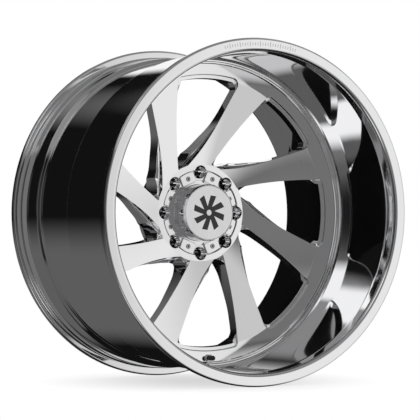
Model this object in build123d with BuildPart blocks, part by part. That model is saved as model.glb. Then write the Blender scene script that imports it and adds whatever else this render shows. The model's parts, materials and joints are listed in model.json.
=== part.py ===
from build123d import *
import math
import os

# A welded two-piece forged wheel, 26 x 16 inch, eight lugs on 170 mm.
# The axle line is Y. The street face looks towards -Y, +Z is up, and the origin is on the axle line,
# midway between the two outer flange faces. All sizes are millimetres.

# ---- Driving dimensions ----
BEAD_SEAT_RADIUS = 332.6        # 26 inch seat, 665.2 mm across
FLANGE_HEIGHT = 17.5            # J flange above the seat
RIM_WIDTH = 406.4               # 16 inch between the flanges
FLANGE_THICKNESS = 13.0
REAR_SPACING = 115.2            # mounting face to the rear flange's outer face

LUG_COUNT = 8
LUG_CIRCLE_RADIUS = 85.0        # 170 mm pitch circle
LUG_HOLE_RADIUS = 8.0
LUG_SOCKET_RADIUS = 13.3        # counterbore for the nut and its socket
LUG_SEAT_HEIGHT = 12.0          # narrow end of the cone seat above the mounting face
HUB_BORE_RADIUS = 62.5
HUB_PAD_RADIUS = 112.0

HUB_FACE_Y = 28.9
HUB_FACE_RADIUS = 101.5
FACE_CREASE_Y = -3.3            # where the spoke cone meets the flat outer band
FACE_CREASE_RADIUS = 280.0
CENTRE_RADIUS = 310.0           # outer edge of the welded-in centre
CENTRE_EDGE_Y = -5.5
CENTRE_BACK_Y = 20.0

CAP_POCKET_RADIUS = 89.3
CAP_POCKET_Y = 40.6             # floor of the pocket that holds the cap and its ring
CAP_RADIUS = 59.2
CAP_FRONT_Y = -7.2
CAP_WALL = 3.2
CAP_FLANGE_RADIUS = 70.0
CAP_FLANGE_THICKNESS = 3.0
RING_PAD_Y = 30.6
RING_BASE_Y = 34.6
RING_OUTER_RADIUS = 88.5
RING_INNER_RADIUS = 63.4
CAP_SCREW_CIRCLE = 76.0
CAP_SCREW_RADIUS = 2.5          # M5
FACE_PLATE_RADIUS = 57.2
FACE_PLATE_THICKNESS = 1.3
ADHESIVE_THICKNESS = 0.3
EMBLEM_THICKNESS = 0.4

VALVE_CIRCLE = 302.0            # valve axis below the axle line
VALVE_SEAT_Y = -4.2             # spot face in the outer band
VALVE_HEX_HEIGHT = 5.0
VALVE_TIP_Y = -22.2
VALVE_STEM_RADIUS = 3.85
VALVE_THREAD_RADIUS = 5.0

# ---- Values that follow ----
FLANGE_RADIUS = BEAD_SEAT_RADIUS + FLANGE_HEIGHT
HALF_WIDTH = RIM_WIDTH / 2 + FLANGE_THICKNESS
FLANGE_INNER_Y = RIM_WIDTH / 2
MOUNT_FACE_Y = HALF_WIDTH - REAR_SPACING
LUG_STEP = 360 / LUG_COUNT
HALF_STEP = LUG_STEP / 2

os.makedirs("parts", exist_ok=True)


def across(y):
    """Plane square to the axle line at station y, seen from the street side."""
    return Plane.XZ.offset(-y)


def valve_plane(y):
    """Plane square to the valve axis at station y, with its origin on that axis."""
    return Plane(origin=(0, y, -VALVE_CIRCLE), x_dir=(1, 0, 0), z_dir=(0, -1, 0))


VALVE_SECTION = Plane(origin=(0, 0, -VALVE_CIRCLE), x_dir=(0, 1, 0), z_dir=(1, 0, 0))
VALVE_AXIS = Axis((0, 0, -VALVE_CIRCLE), (0, 1, 0))


def save(node, label):
    """Label a finished sub-part and write its STEP file."""
    node.part.label = label
    export_step(node.part, "parts/" + label + ".step")


# ---- Rim barrel: one turned ring, profile in (station along the axle, radius) ----
LIP_BORE_RADIUS = 320.3
LIP_EDGE_ROUND = 8.7
WELL_RADIUS = 318.0
FRONT_WALL_RADIUS = 327.0
REAR_SEAT_RADIUS = 331.0
REAR_BORE_RADIUS = 320.0
HUMP_HEIGHT = 1.4

with BuildPart() as rim_barrel:
    with BuildSketch(Plane.YZ):
        with BuildLine():
            face_edge = (-HALF_WIDTH, BEAD_SEAT_RADIUS)
            lip_edge = (-HALF_WIDTH + LIP_EDGE_ROUND, BEAD_SEAT_RADIUS - LIP_EDGE_ROUND)
            RadiusArc(lip_edge, face_edge, LIP_EDGE_ROUND)
            Polyline(
                face_edge,
                (-HALF_WIDTH, FLANGE_RADIUS - 5),
                (-HALF_WIDTH + 1.5, FLANGE_RADIUS - 1.5),
                (-HALF_WIDTH + 5, FLANGE_RADIUS),
                (-FLANGE_INNER_Y - 3, FLANGE_RADIUS),
                (-FLANGE_INNER_Y, FLANGE_RADIUS - 4),
                (-FLANGE_INNER_Y, BEAD_SEAT_RADIUS + 3),
                (-FLANGE_INNER_Y + 3, BEAD_SEAT_RADIUS),
                (-FLANGE_INNER_Y + 22, BEAD_SEAT_RADIUS - 1.9),
                (-FLANGE_INNER_Y + 25, BEAD_SEAT_RADIUS - 1.9 + HUMP_HEIGHT),
                (-FLANGE_INNER_Y + 28, BEAD_SEAT_RADIUS - 1.9 + HUMP_HEIGHT),
                (-FLANGE_INNER_Y + 32, BEAD_SEAT_RADIUS - 2.2),
                (-FLANGE_INNER_Y + 52, FRONT_WALL_RADIUS),
                (-2, FRONT_WALL_RADIUS),
                (5, WELL_RADIUS),
                (127, WELL_RADIUS + 4),
                (134, REAR_SEAT_RADIUS),
                (FLANGE_INNER_Y - 34, REAR_SEAT_RADIUS),
                (FLANGE_INNER_Y - 30, REAR_SEAT_RADIUS + HUMP_HEIGHT),
                (FLANGE_INNER_Y - 27, REAR_SEAT_RADIUS + HUMP_HEIGHT),
                (FLANGE_INNER_Y - 24, REAR_SEAT_RADIUS),
                (FLANGE_INNER_Y - 3, BEAD_SEAT_RADIUS),
                (FLANGE_INNER_Y, BEAD_SEAT_RADIUS + 3),
                (FLANGE_INNER_Y, FLANGE_RADIUS - 5),
                (FLANGE_INNER_Y + 3, FLANGE_RADIUS),
                (HALF_WIDTH - 4, FLANGE_RADIUS),
                (HALF_WIDTH, FLANGE_RADIUS - 4),
                (HALF_WIDTH, REAR_BORE_RADIUS + 8),
                (HALF_WIDTH - 6, REAR_BORE_RADIUS + 2),
                (HALF_WIDTH - 14, REAR_BORE_RADIUS),
                (137, REAR_BORE_RADIUS),
                (124, REAR_BORE_RADIUS - 6.5),
                (40, CENTRE_RADIUS),
                (-6, CENTRE_RADIUS),
                (-6, LIP_BORE_RADIUS),
                (-FLANGE_INNER_Y + 4, LIP_BORE_RADIUS + 0.8),
                lip_edge,
            )
        make_face()
    revolve(axis=Axis.Y)
    # air passage from the tyre well to the valve port
    with BuildSketch(Plane.XY.offset(-VALVE_CIRCLE)):
        with Locations((0, 8)):
            Circle(2.0)
    extrude(amount=-30, mode=Mode.SUBTRACT)
save(rim_barrel, "rim_barrel")

# ---- Wheel centre: turned disc with eight raked windows and the hub machining ----
WINDOW_TIP = (-51.5, 81.0)          # sharp inner corner before rounding
WINDOW_OUTER_RADIUS = 288.5
WINDOW_LEFT = (-70.8, 279.7)
WINDOW_RIGHT = (79.0, 277.5)
TIP_ROUND = 7.0
LEFT_ROUND = 10.5
RIGHT_ROUND = 14.0

with BuildSketch() as window:
    with BuildLine():
        ThreePointArc(WINDOW_TIP, (-66.5, 175), WINDOW_LEFT)
        ThreePointArc(WINDOW_LEFT, (0, WINDOW_OUTER_RADIUS), WINDOW_RIGHT)
        Spline(WINDOW_RIGHT, (36.8, 196), (3.5, 140), WINDOW_TIP)
    make_face()
    fillet(window.vertices().sort_by(Axis.Y)[0], TIP_ROUND)
    fillet(window.vertices().sort_by(Axis.X)[0], LEFT_ROUND)
    fillet(window.vertices().sort_by(Axis.X)[-1], RIGHT_ROUND)

with BuildPart() as wheel_centre:
    with BuildSketch(Plane.YZ):
        with BuildLine():
            hub_back = (88.0, HUB_PAD_RADIUS)
            rim_back = (CENTRE_BACK_Y, 294.0)
            Spline(
                hub_back, (64, 140), (36, 215), rim_back,
                tangents=((-0.75, 1.0), (-0.12, 1.0)), tangent_scalars=(1.0, 1.0),
            )
            Polyline(
                rim_back,
                (CENTRE_BACK_Y, CENTRE_RADIUS),
                (CENTRE_EDGE_Y, CENTRE_RADIUS),
                (FACE_CREASE_Y, FACE_CREASE_RADIUS),
                (HUB_FACE_Y, HUB_FACE_RADIUS),
                (HUB_FACE_Y, CAP_POCKET_RADIUS),
                (CAP_POCKET_Y, CAP_POCKET_RADIUS),
                (CAP_POCKET_Y, HUB_BORE_RADIUS),
                (MOUNT_FACE_Y - 3, HUB_BORE_RADIUS),
                (MOUNT_FACE_Y, HUB_BORE_RADIUS + 3),
                (MOUNT_FACE_Y, HUB_PAD_RADIUS - 2),
                (MOUNT_FACE_Y - 2, HUB_PAD_RADIUS),
                hub_back,
            )
        make_face()
    revolve(axis=Axis.Y)
    # eight windows, raked clockwise as seen from the street
    with BuildSketch(across(MOUNT_FACE_Y + 5)):
        with PolarLocations(0, LUG_COUNT):
            add(window.sketch)
    extrude(amount=MOUNT_FACE_Y + 60, mode=Mode.SUBTRACT)
    # lug sockets, cone seats and stud holes
    with BuildSketch(across(MOUNT_FACE_Y)):
        with PolarLocations(LUG_CIRCLE_RADIUS, LUG_COUNT):
            Circle(LUG_HOLE_RADIUS)
    extrude(amount=MOUNT_FACE_Y, mode=Mode.SUBTRACT)
    seat_wide_y = MOUNT_FACE_Y - LUG_SEAT_HEIGHT - (LUG_SOCKET_RADIUS - LUG_HOLE_RADIUS) * math.sqrt(3)
    with BuildSketch(across(seat_wide_y)):
        with PolarLocations(LUG_CIRCLE_RADIUS, LUG_COUNT):
            Circle(LUG_SOCKET_RADIUS)
    extrude(amount=seat_wide_y, mode=Mode.SUBTRACT)
    cone_height = MOUNT_FACE_Y - LUG_SEAT_HEIGHT - seat_wide_y
    with Locations(across(seat_wide_y + cone_height / 2)):
        with PolarLocations(LUG_CIRCLE_RADIUS, LUG_COUNT):
            Cone(LUG_HOLE_RADIUS, LUG_SOCKET_RADIUS, cone_height, mode=Mode.SUBTRACT)
    # tapped holes for the cap screws
    with BuildSketch(across(56)):
        with PolarLocations(CAP_SCREW_CIRCLE, LUG_COUNT, start_angle=HALF_STEP):
            Circle(2.1)
    extrude(amount=56 - CAP_POCKET_Y, mode=Mode.SUBTRACT)
    # lightening pockets between the lugs, in the mounting face
    with BuildSketch(across(MOUNT_FACE_Y)):
        with PolarLocations(84, LUG_COUNT, start_angle=HALF_STEP):
            Circle(9)
    extrude(amount=28, mode=Mode.SUBTRACT)
    # O-ring groove round the bore
    with BuildSketch(across(CAP_POCKET_Y + 1.9)):
        Circle(68)
        Circle(64.6, mode=Mode.SUBTRACT)
    extrude(amount=1.9, mode=Mode.SUBTRACT)
    # valve: spot face, port, O-ring seat and the air passage
    with BuildSketch(valve_plane(VALVE_SEAT_Y)):
        Circle(9.5)
    extrude(amount=6, mode=Mode.SUBTRACT)
    with BuildSketch(valve_plane(VALVE_SEAT_Y + 1.2)):
        Circle(6.6)
    extrude(amount=1.2, mode=Mode.SUBTRACT)
    with BuildSketch(valve_plane(12)):
        Circle(VALVE_THREAD_RADIUS)
    extrude(amount=12 - VALVE_SEAT_Y, mode=Mode.SUBTRACT)
    with BuildSketch(Plane.XY.offset(-VALVE_CIRCLE)):
        with Locations((0, 8)):
            Circle(2.0)
    extrude(amount=-30, mode=Mode.SUBTRACT)
save(wheel_centre, "wheel_centre")

# ---- Welds that join the centre to the barrel, turned smooth after welding ----
with BuildPart() as front_weld_bead:
    with BuildSketch(Plane.YZ):
        with BuildLine():
            Polyline(
                (CENTRE_EDGE_Y - 0.5, CENTRE_RADIUS),
                (-6, LIP_BORE_RADIUS),
                (-16, LIP_BORE_RADIUS),
                (-15, LIP_BORE_RADIUS - 1.6),
                (-12.4, LIP_BORE_RADIUS - 2.4),
                (-11.8, LIP_BORE_RADIUS - 5.4),
                (-9.6, LIP_BORE_RADIUS - 6.2),
                (-9.0, CENTRE_RADIUS + 1.2),
                (-7.4, CENTRE_RADIUS),
                close=True,
            )
        make_face()
    revolve(axis=Axis.Y)
save(front_weld_bead, "front_weld_bead")

with BuildPart() as rear_weld_bead:
    with BuildSketch(Plane.YZ):
        with BuildLine():
            Line((CENTRE_BACK_Y, CENTRE_RADIUS), (CENTRE_BACK_Y + 8, CENTRE_RADIUS))
            RadiusArc((CENTRE_BACK_Y + 8, CENTRE_RADIUS), (CENTRE_BACK_Y, CENTRE_RADIUS - 8), 9)
            Line((CENTRE_BACK_Y, CENTRE_RADIUS - 8), (CENTRE_BACK_Y, CENTRE_RADIUS))
        make_face()
    revolve(axis=Axis.Y)
save(rear_weld_bead, "rear_weld_bead")

# ---- Cap retaining ring: scalloped round the lug sockets, with eight raised screw pads ----
with BuildPart() as cap_retaining_ring:
    with BuildSketch(across(CAP_POCKET_Y)):
        Circle(RING_OUTER_RADIUS)
        Circle(RING_INNER_RADIUS, mode=Mode.SUBTRACT)
    extrude(amount=CAP_POCKET_Y - RING_BASE_Y)
    with BuildSketch(across(RING_BASE_Y)):
        with PolarLocations(76.5, LUG_COUNT, start_angle=HALF_STEP):
            RectangleRounded(23, 34, 3)
        Circle(RING_OUTER_RADIUS, mode=Mode.INTERSECT)
        Circle(RING_INNER_RADIUS, mode=Mode.SUBTRACT)
    extrude(amount=RING_BASE_Y - RING_PAD_Y)
    with BuildSketch(across(CAP_POCKET_Y)):
        with PolarLocations(LUG_CIRCLE_RADIUS, LUG_COUNT):
            Circle(14)
        with PolarLocations(62, LUG_COUNT):
            Rectangle(11, 21)
    extrude(amount=20, mode=Mode.SUBTRACT)
    # step that clamps the cap's flange
    with BuildSketch(across(CAP_POCKET_Y)):
        Circle(CAP_FLANGE_RADIUS + 0.4)
    extrude(amount=CAP_FLANGE_THICKNESS + 0.2, mode=Mode.SUBTRACT)
    with BuildSketch(across(CAP_POCKET_Y)):
        with PolarLocations(CAP_SCREW_CIRCLE, LUG_COUNT, start_angle=HALF_STEP):
            Circle(2.75)
    extrude(amount=20, mode=Mode.SUBTRACT)
    with BuildSketch(across(36)):
        with PolarLocations(CAP_SCREW_CIRCLE, LUG_COUNT, start_angle=HALF_STEP):
            Circle(4.7)
    extrude(amount=10, mode=Mode.SUBTRACT)
save(cap_retaining_ring, "cap_retaining_ring")

# ---- Eight M5 socket screws that hold the ring ----
with BuildPart() as cap_screws:
    with BuildSketch(across(54)):
        with PolarLocations(CAP_SCREW_CIRCLE, LUG_COUNT, start_angle=HALF_STEP):
            Circle(CAP_SCREW_RADIUS)
    extrude(amount=54 - 36)
    with BuildSketch(across(36)):
        with PolarLocations(CAP_SCREW_CIRCLE, LUG_COUNT, start_angle=HALF_STEP):
            Circle(4.3)
    extrude(amount=5)
    with BuildSketch(across(33.6)):
        with PolarLocations(CAP_SCREW_CIRCLE, LUG_COUNT, start_angle=HALF_STEP):
            RegularPolygon(radius=2.0, side_count=6, major_radius=False)
    extrude(amount=5, mode=Mode.SUBTRACT)
save(cap_screws, "cap_screws")

# ---- Centre cap: turned cup with a clamping flange ----
with BuildPart() as cap_body:
    with BuildSketch(Plane.YZ):
        with BuildLine():
            Polyline(
                (CAP_POCKET_Y, CAP_RADIUS - CAP_WALL),
                (CAP_POCKET_Y, CAP_FLANGE_RADIUS),
                (CAP_POCKET_Y - CAP_FLANGE_THICKNESS, CAP_FLANGE_RADIUS),
                (CAP_POCKET_Y - CAP_FLANGE_THICKNESS, CAP_RADIUS),
                (CAP_FRONT_Y + 1.6, CAP_RADIUS),
                (CAP_FRONT_Y, CAP_RADIUS - 1.4),
                (CAP_FRONT_Y, FACE_PLATE_RADIUS + 0.1),
                (CAP_FRONT_Y + 2, FACE_PLATE_RADIUS + 0.1),
                (CAP_FRONT_Y + 2, 0),
                (CAP_FRONT_Y + 2 + CAP_WALL, 0),
                (CAP_FRONT_Y + 2 + CAP_WALL, CAP_RADIUS - CAP_WALL),
                close=True,
            )
        make_face()
    revolve(axis=Axis.Y)
save(cap_body, "cap_body")

with BuildPart() as cap_o_ring:
    with BuildSketch(Plane.YZ):
        with Locations((CAP_POCKET_Y + 0.95, 66.3)):
            Ellipse(0.95, 1.5)
    revolve(axis=Axis.Y)
save(cap_o_ring, "cap_o_ring")

# ---- Face plate, bonded into the cap by an adhesive film, and the emblem on it ----
FILM_BACK_Y = CAP_FRONT_Y + 2
PLATE_BACK_Y = FILM_BACK_Y - ADHESIVE_THICKNESS
EMBLEM_BACK_Y = PLATE_BACK_Y - FACE_PLATE_THICKNESS

with BuildPart() as cap_adhesive_film:
    with BuildSketch(across(FILM_BACK_Y)):
        Circle(FACE_PLATE_RADIUS - 1.5)
    extrude(amount=ADHESIVE_THICKNESS)
save(cap_adhesive_film, "cap_adhesive_film")

with BuildPart() as cap_face_plate:
    with BuildSketch(across(PLATE_BACK_Y)):
        Circle(FACE_PLATE_RADIUS)
    extrude(amount=FACE_PLATE_THICKNESS)
    chamfer(cap_face_plate.faces().sort_by(Axis.Y)[0].edges(), 0.5)
save(cap_face_plate, "cap_face_plate")

EMBLEM_HUB_RADIUS = 11.0
with BuildPart() as cap_emblem:
    with BuildSketch(across(EMBLEM_BACK_Y)):
        Circle(EMBLEM_HUB_RADIUS)
        with PolarLocations(0, LUG_COUNT):
            Polygon((-5, 8), (5, 8), (17, 34), (4, 36), align=None)
        Circle(6, mode=Mode.SUBTRACT)
    extrude(amount=EMBLEM_THICKNESS)
save(cap_emblem, "cap_emblem")

# ---- Screw-in tyre valve ----
with BuildPart() as valve_stem:
    with BuildSketch(valve_plane(9.8)):
        Circle(VALVE_THREAD_RADIUS)
    extrude(amount=9.8 - VALVE_SEAT_Y)
    with BuildSketch(valve_plane(VALVE_SEAT_Y)):
        RegularPolygon(radius=7.0, side_count=6, major_radius=False)
    extrude(amount=VALVE_HEX_HEIGHT)
    with BuildSketch(valve_plane(VALVE_SEAT_Y - VALVE_HEX_HEIGHT)):
        Circle(VALVE_STEM_RADIUS)
    extrude(amount=VALVE_SEAT_Y - VALVE_HEX_HEIGHT - VALVE_TIP_Y)
    chamfer(valve_stem.faces().sort_by(Axis.Y)[0].edges(), 0.4)
    with BuildSketch(valve_plane(-15.2)):
        Circle(2.5)
    extrude(amount=10, mode=Mode.SUBTRACT)
    with BuildSketch(valve_plane(-8)):
        Circle(2.1)
    extrude(amount=8, mode=Mode.SUBTRACT)
    with BuildSketch(valve_plane(10)):
        Circle(1.6)
    extrude(amount=20, mode=Mode.SUBTRACT)
save(valve_stem, "valve_stem")

with BuildPart() as valve_o_ring:
    with BuildSketch(VALVE_SECTION):
        with Locations((VALVE_SEAT_Y + 0.6, 5.8)):
            Ellipse(0.6, 0.75)
    revolve(axis=VALVE_AXIS)
save(valve_o_ring, "valve_o_ring")

# ---- Valve core: threaded body, gasket, and a sprung pin that carries the inner seal ----
CORE_TOP_Y = -21.2
CORE_SHOULDER_Y = -17.2
CORE_END_Y = -12.2

with BuildPart() as valve_core_body:
    with BuildSketch(VALVE_SECTION):
        with BuildLine():
            Polyline(
                (CORE_TOP_Y, 0.8),
                (CORE_TOP_Y, 2.5),
                (CORE_SHOULDER_Y, 2.5),
                (CORE_SHOULDER_Y, 2.0),
                (CORE_END_Y, 2.0),
                (CORE_END_Y, 0.8),
                (CORE_END_Y - 0.7, 0.8),
                (CORE_END_Y - 0.7, 1.45),
                (CORE_SHOULDER_Y - 1.0, 1.45),
                (CORE_SHOULDER_Y - 1.0, 0.8),
                close=True,
            )
        make_face()
    revolve(axis=VALVE_AXIS)
    with BuildSketch(valve_plane(CORE_TOP_Y + 1.8)):
        with Locations((1.95, 0), (-1.95, 0)):
            Rectangle(1.1, 5)
    extrude(amount=3, mode=Mode.SUBTRACT)
save(valve_core_body, "valve_core_body")

with BuildPart() as valve_core_gasket:
    with BuildSketch(valve_plane(CORE_SHOULDER_Y + 2)):
        Circle(2.5)
        Circle(2.0, mode=Mode.SUBTRACT)
    extrude(amount=2)
save(valve_core_gasket, "valve_core_gasket")

PIN_RADIUS = 0.55
PIN_TIP_Y = -21.9
PIN_COLLAR_Y = CORE_SHOULDER_Y - 0.9
with BuildPart() as valve_core_pin:
    with BuildSketch(VALVE_SECTION):
        with BuildLine():
            Polyline(
                (PIN_TIP_Y, 0),
                (PIN_TIP_Y, PIN_RADIUS - 0.15),
                (PIN_TIP_Y + 0.15, PIN_RADIUS),
                (PIN_COLLAR_Y, PIN_RADIUS),
                (PIN_COLLAR_Y, 1.3),
                (PIN_COLLAR_Y + 0.6, 1.3),
                (PIN_COLLAR_Y + 0.6, PIN_RADIUS),
                (CORE_END_Y + 0.7, PIN_RADIUS),
                (CORE_END_Y + 0.7, 1.7),
                (CORE_END_Y + 1.4, 1.7),
                (CORE_END_Y + 2.4, 0),
                close=True,
            )
        make_face()
    revolve(axis=VALVE_AXIS)
save(valve_core_pin, "valve_core_pin")

with BuildPart() as valve_core_seal:
    with BuildSketch(valve_plane(CORE_END_Y + 0.7)):
        Circle(1.7)
        Circle(PIN_RADIUS, mode=Mode.SUBTRACT)
    extrude(amount=0.65)
save(valve_core_seal, "valve_core_seal")

SPRING_WIRE_RADIUS = 0.14
spring_start_y = PIN_COLLAR_Y + 0.65 + SPRING_WIRE_RADIUS
spring_end_y = CORE_END_Y - 0.75 - SPRING_WIRE_RADIUS
spring_height = spring_end_y - spring_start_y
with BuildPart() as valve_core_spring:
    with BuildLine():
        coil = Helix(
            pitch=spring_height / 6, height=spring_height, radius=1.0,
            center=(0, spring_start_y, -VALVE_CIRCLE), direction=(0, 1, 0),
        )
    with BuildSketch(Plane(origin=coil @ 0, z_dir=coil % 0)):
        Circle(SPRING_WIRE_RADIUS)
    sweep(is_frenet=True)
save(valve_core_spring, "valve_core_spring")

# ---- Dust cap: knurled shell and its rubber seal ----
DUST_CAP_MOUTH_Y = VALVE_SEAT_Y - VALVE_HEX_HEIGHT - 0.4
DUST_CAP_TOP_Y = -24.8
DUST_CAP_RADIUS = 5.2
with BuildPart() as dust_cap:
    with BuildSketch(valve_plane(DUST_CAP_MOUTH_Y)):
        Circle(DUST_CAP_RADIUS)
    extrude(amount=DUST_CAP_MOUTH_Y - DUST_CAP_TOP_Y)
    chamfer(dust_cap.faces().sort_by(Axis.Y)[0].edges(), 0.8)
    with BuildSketch(valve_plane(DUST_CAP_MOUTH_Y)):
        Circle(VALVE_STEM_RADIUS + 0.15)
    extrude(amount=DUST_CAP_MOUTH_Y + 23.5, mode=Mode.SUBTRACT)
    with BuildSketch(valve_plane(DUST_CAP_MOUTH_Y - 2)):
        with PolarLocations(DUST_CAP_RADIUS + 0.2, 20):
            Circle(0.45)
    extrude(amount=10, mode=Mode.SUBTRACT)
save(dust_cap, "dust_cap")

with BuildPart() as dust_cap_seal:
    with BuildSketch(valve_plane(VALVE_TIP_Y - 0.05)):
        Circle(VALVE_STEM_RADIUS)
    extrude(amount=1.2)
save(dust_cap_seal, "dust_cap_seal")
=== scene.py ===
import json
import math

import bmesh
import bpy
import numpy as np
from mathutils import Matrix


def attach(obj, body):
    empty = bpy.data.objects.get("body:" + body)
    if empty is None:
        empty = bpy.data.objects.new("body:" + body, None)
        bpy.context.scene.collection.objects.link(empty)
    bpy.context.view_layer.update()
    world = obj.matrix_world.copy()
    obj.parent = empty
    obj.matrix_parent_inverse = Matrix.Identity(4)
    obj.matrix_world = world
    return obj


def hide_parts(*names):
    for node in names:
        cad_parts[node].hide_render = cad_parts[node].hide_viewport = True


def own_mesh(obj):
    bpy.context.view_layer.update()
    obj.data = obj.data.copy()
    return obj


# Looks of a polished two-piece forged truck wheel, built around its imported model.
# Shapes are worked out in millimetres and put into the meshes in metres. The axle line is Y, the
# street face looks towards -Y and +Z is up. Angles round the wheel run clockwise from the top, as
# seen from the street.

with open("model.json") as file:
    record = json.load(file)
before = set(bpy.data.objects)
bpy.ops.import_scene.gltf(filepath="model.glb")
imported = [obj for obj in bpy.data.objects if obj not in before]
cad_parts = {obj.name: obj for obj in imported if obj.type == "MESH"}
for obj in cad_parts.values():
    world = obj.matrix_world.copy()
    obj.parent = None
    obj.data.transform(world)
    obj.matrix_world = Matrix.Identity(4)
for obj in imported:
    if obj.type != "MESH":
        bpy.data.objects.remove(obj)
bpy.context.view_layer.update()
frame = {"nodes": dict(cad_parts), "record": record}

MM = 0.001
WINDOWS = 8
STEP = 2 * math.pi / WINDOWS
WELD_TOLERANCE = 0.002      # two grid points nearer than this are one vertex

# ---------------------------------------------------------------- mesh tools


def unit(v):
    """Vectors along the last axis divided by their lengths."""
    return v / np.maximum(np.linalg.norm(v, axis=-1, keepdims=True), 1e-12)


def smooth(low, high, x):
    """0 below low, 1 above high, and the cubic 3t^2 - 2t^3 between."""
    t = np.clip((x - low) / (high - low), 0, 1)
    return t * t * (3 - 2 * t)


def sheet_normals(p):
    """Unit normal of a grid of points: the cross product of its row and column slopes."""
    order = [2 if n > 2 else 1 for n in p.shape[:2]]
    return unit(np.cross(np.gradient(p, axis=0, edge_order=order[0]),
                         np.gradient(p, axis=1, edge_order=order[1])))


def skin(name, sheets, body, material, stands_for=()):
    """One closed mesh from several grids of points that share their borders.

    Each sheet is (points, normals), both rows x columns x 3. Four neighbouring points make a face,
    points that coincide become one vertex, and a face with two corners in one place loses one."""
    points = np.concatenate([p.reshape(-1, 3) for p, _ in sheets])
    normals = np.concatenate([n.reshape(-1, 3) for _, n in sheets])
    corners, start = [], 0
    for p, _ in sheets:
        rows, columns = p.shape[:2]
        index = start + np.arange(rows * columns).reshape(rows, columns)
        corners.append(np.stack([index[:-1, :-1], index[1:, :-1], index[1:, 1:], index[:-1, 1:]],
                                -1).reshape(-1, 4))
        start += rows * columns
    corners = np.concatenate(corners)
    keys = np.floor(points / WELD_TOLERANCE + 0.37).astype(np.int64)
    _, first, merged = np.unique(keys, axis=0, return_index=True, return_inverse=True)
    merged = merged.reshape(-1)
    vertex = merged[corners]
    kept = vertex != np.roll(vertex, 1, axis=1)
    whole = kept.sum(1) > 2
    corners, vertex, kept = corners[whole], vertex[whole], kept[whole]
    sizes = kept.sum(1)
    starts = np.concatenate([[0], np.cumsum(sizes)[:-1]])
    loop_vertex, loop_normal = vertex[kept], normals[corners[kept]]
    mesh = bpy.data.meshes.new(name)
    mesh.vertices.add(len(first))
    mesh.vertices.foreach_set("co", (points[first] * MM).astype(np.float32).ravel())
    mesh.loops.add(len(loop_vertex))
    mesh.loops.foreach_set("vertex_index", loop_vertex.astype(np.int32))
    mesh.polygons.add(len(sizes))
    mesh.polygons.foreach_set("loop_start", starts.astype(np.int32))
    mesh.update(calc_edges=True)
    held = mesh.attributes.new("held_normal", "FLOAT_VECTOR", "CORNER")
    held.data.foreach_set("vector", loop_normal.astype(np.float32).ravel())
    work = bmesh.new()
    work.from_mesh(mesh)
    bmesh.ops.recalc_face_normals(work, faces=work.faces)
    work.to_mesh(mesh)
    work.free()
    mesh.update()
    corner_normal = np.zeros(len(mesh.loops) * 3, np.float32)
    mesh.attributes["held_normal"].data.foreach_get("vector", corner_normal)
    corner_normal = corner_normal.reshape(-1, 3)
    face_normal = np.zeros(len(mesh.polygons) * 3, np.float32)
    mesh.polygons.foreach_get("normal", face_normal)
    totals = np.zeros(len(mesh.polygons), np.int32)
    mesh.polygons.foreach_get("loop_total", totals)
    face_normal = np.repeat(face_normal.reshape(-1, 3), totals, axis=0)
    side = np.sign((corner_normal * face_normal).sum(1, keepdims=True))
    corner_normal = np.where(side == 0, face_normal, corner_normal * side)
    mesh.attributes.remove(mesh.attributes["held_normal"])
    mesh.polygons.foreach_set("use_smooth", np.ones(len(mesh.polygons), bool))
    mesh.normals_split_custom_set(corner_normal)
    piece = bpy.data.objects.new(name, mesh)
    bpy.context.scene.collection.objects.link(piece)
    mesh.materials.append(material)
    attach(piece, body)
    if stands_for:
        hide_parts(*stands_for)
    return piece


def rounded(corners, closed=False, turn=10.0):
    """A path of straight runs with circular arcs at its corners, as points and left-hand normals.

    Each corner is (a, b, radius). A corner of radius 0 is kept sharp: its point comes twice, with
    the normal of each run. A closed path starts and ends at the middle of its last run."""
    c = np.array(corners, float)
    if closed:
        middle = (c[0] + c[-1]) / 2
        middle[2] = 0
        c = np.vstack([middle, c, middle])
    run = unit(c[1:, :2] - c[:-1, :2])
    points, normals = [c[0, :2]], [run[0] @ [[0, 1], [-1, 0]]]
    for i in range(1, len(c) - 1):
        a, b, corner, radius = run[i - 1], run[i], c[i, :2], c[i, 2]
        bend = math.atan2(a[0] * b[1] - a[1] * b[0], a @ b)
        steps = max(2, math.ceil(abs(math.degrees(bend)) / turn)) if radius else 1
        reach = radius * math.tan(abs(bend) / 2)
        side = np.array([-a[1], a[0]])
        centre = corner - a * reach + side * math.copysign(radius, bend)
        for s in np.linspace(0, 1, steps + 1):
            w = bend * s
            n = side * math.cos(w) - a * math.sin(w)
            normals.append(n)
            points.append(centre - n * math.copysign(radius, bend) if radius else corner)
    points.append(c[-1, :2])
    normals.append(run[-1] @ [[0, 1], [-1, 0]])
    return np.array(points), np.array(normals)


def carried(profile, angle):
    """A profile of (station along the axle, radius) points carried round the axle to given angles.

    Point (i, j) is profile point j at angle i: x = r sin(angle), z = r cos(angle)."""
    angle = np.asarray(angle)[:, None]
    return tuple(np.stack([v[:, 1] * np.sin(angle), v[:, 0] + 0 * angle, v[:, 1] * np.cos(angle)], -1)
                 for v in profile)


def turned(profile, segments, centre=(0.0, 0.0)):
    """A profile carried the whole way round a line along the axle through centre (x, z)."""
    p, n = carried(profile, np.linspace(0, 2 * math.pi, segments + 1))
    return p + np.array([centre[0], 0, centre[1]]), n


def flat(path_a, path_b, y, normal=-1, steps=2):
    """The flat sheet at station y between two flat paths with as many points each."""
    t = np.linspace(0, 1, steps)[None, :, None]
    p = path_a[:, None] * (1 - t) + path_b[:, None] * t
    p = np.stack([p[..., 0], np.full(p.shape[:2], float(y)), p[..., 1]], -1)
    return p, np.broadcast_to([0.0, normal, 0.0], p.shape)


def outward_of(path):
    """Unit normals to the left of a closed flat path that runs clockwise seen from the street."""
    d = unit(np.roll(path, -1, axis=0) - np.roll(path, 1, axis=0))
    return np.stack([-d[:, 1], d[:, 0]], -1)


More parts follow.
